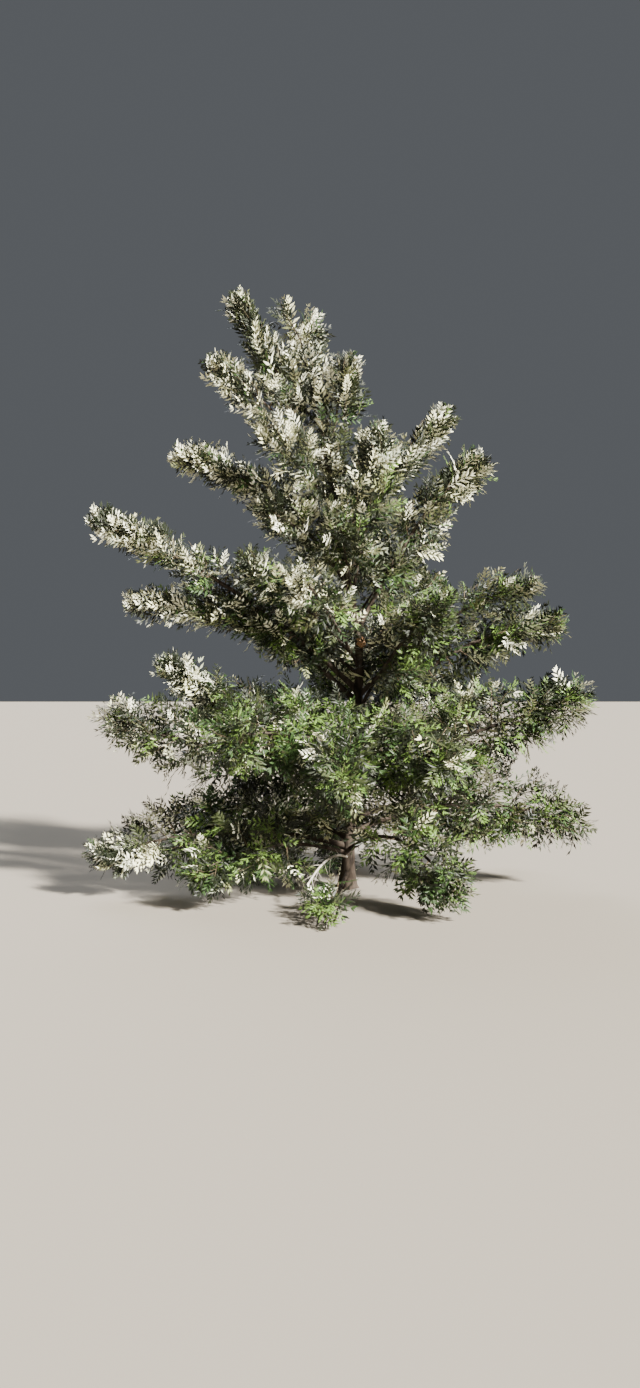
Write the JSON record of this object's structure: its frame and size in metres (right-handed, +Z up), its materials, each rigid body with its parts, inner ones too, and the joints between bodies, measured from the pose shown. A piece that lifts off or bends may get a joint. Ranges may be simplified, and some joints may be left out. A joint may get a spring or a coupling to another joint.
{
  "type": "silky oak tree",
  "caption": "Young open-grown broadleaf tree: one leaning trunk with a flared foot, upswept boughs down to the ground and masses of ferny leaves, silvery at the top and green below.",
  "frame": {"origin": "middle of the flat cut under the trunk, at ground level", "axes": "+Z up along the height of the tree; -Y towards the viewer of the picture; +X to the viewer's right"},
  "size_m": [4.0091, 3.1779, 4.7736],
  "materials": {
    "bark": "rough, finely furrowed grey-brown bark",
    "dead_wood": "weathered pale grey wood",
    "foliage_silver": "matt leaves with silvery undersides showing",
    "foliage_green": "satin green leaves"
  },
  "bodies": {
    "root": {"arm_left_bough": "bark", "arm_left_leaves": "foliage_silver", "arm_right_bough": "bark", "arm_right_high_leaves": "foliage_silver", "arm_right_leaves": "foliage_green", "arm_right_mid_bough": "bark", "arm_right_mid_leaves": "foliage_silver", "arm_right_top_leaves": "foliage_silver", "back_crown_leaves": "foliage_silver", "back_high_leaves": "foliage_silver", "back_leaves": "foliage_green", "back_left_bough": "bark", "back_left_high_leaves": "foliage_silver", "back_left_leaves": "foliage_green", "back_right_high_leaves": "foliage_silver", "back_right_leaves": "foliage_green", "crown_left_leaves": "foliage_silver", "crown_right_leaves": "foliage_silver", "dead_limb": "dead_wood", "front_crown_leaves": "foliage_silver", "front_high_leaves": "foliage_silver", "front_mid_leaves": "foliage_silver", "front_plume_leaves": "foliage_silver", "front_right_bough": "bark", "front_right_leaves": "foliage_green", "front_skirt_bough": "bark", "front_skirt_leaves": "foliage_green", "front_skirt_left_bough": "bark", "front_skirt_left_leaves": "foliage_green", "front_skirt_right_bough": "bark", "front_skirt_right_leaves": "foliage_green", "ground_back_leaves": "foliage_green", "ground_back_left_leaves": "foliage_green", "ground_back_right_leaves": "foliage_green", "ground_front_bough": "bark", "ground_front_leaves": "foliage_green", "ground_front_left_bough": "bark", "ground_front_left_leaves": "foliage_green", "ground_front_right_bough": "bark", "ground_front_right_leaves": "foliage_green", "ground_left_bough": "bark", "ground_left_leaves": "foliage_green", "inner_left_leaves": "foliage_silver", "leader_left_leaves": "foliage_silver", "leader_right_leaves": "foliage_silver", "leader_top_leaves": "foliage_silver", "low_arm_left_bough": "bark", "low_arm_left_leaves": "foliage_green", "low_arm_right_bough": "bark", "low_arm_right_leaves": "foliage_green", "mid_left_leaves": "foliage_silver", "mid_right_leaves": "foliage_silver", "side_left_leaves": "foliage_silver", "skirt_left_bough": "bark", "skirt_left_high_bough": "bark", "skirt_left_high_leaves": "foliage_green", "skirt_left_leaves": "foliage_green", "skirt_right_bough": "bark", "skirt_right_leaves": "foliage_green", "trunk": "bark"}
  },
  "joints": []
}
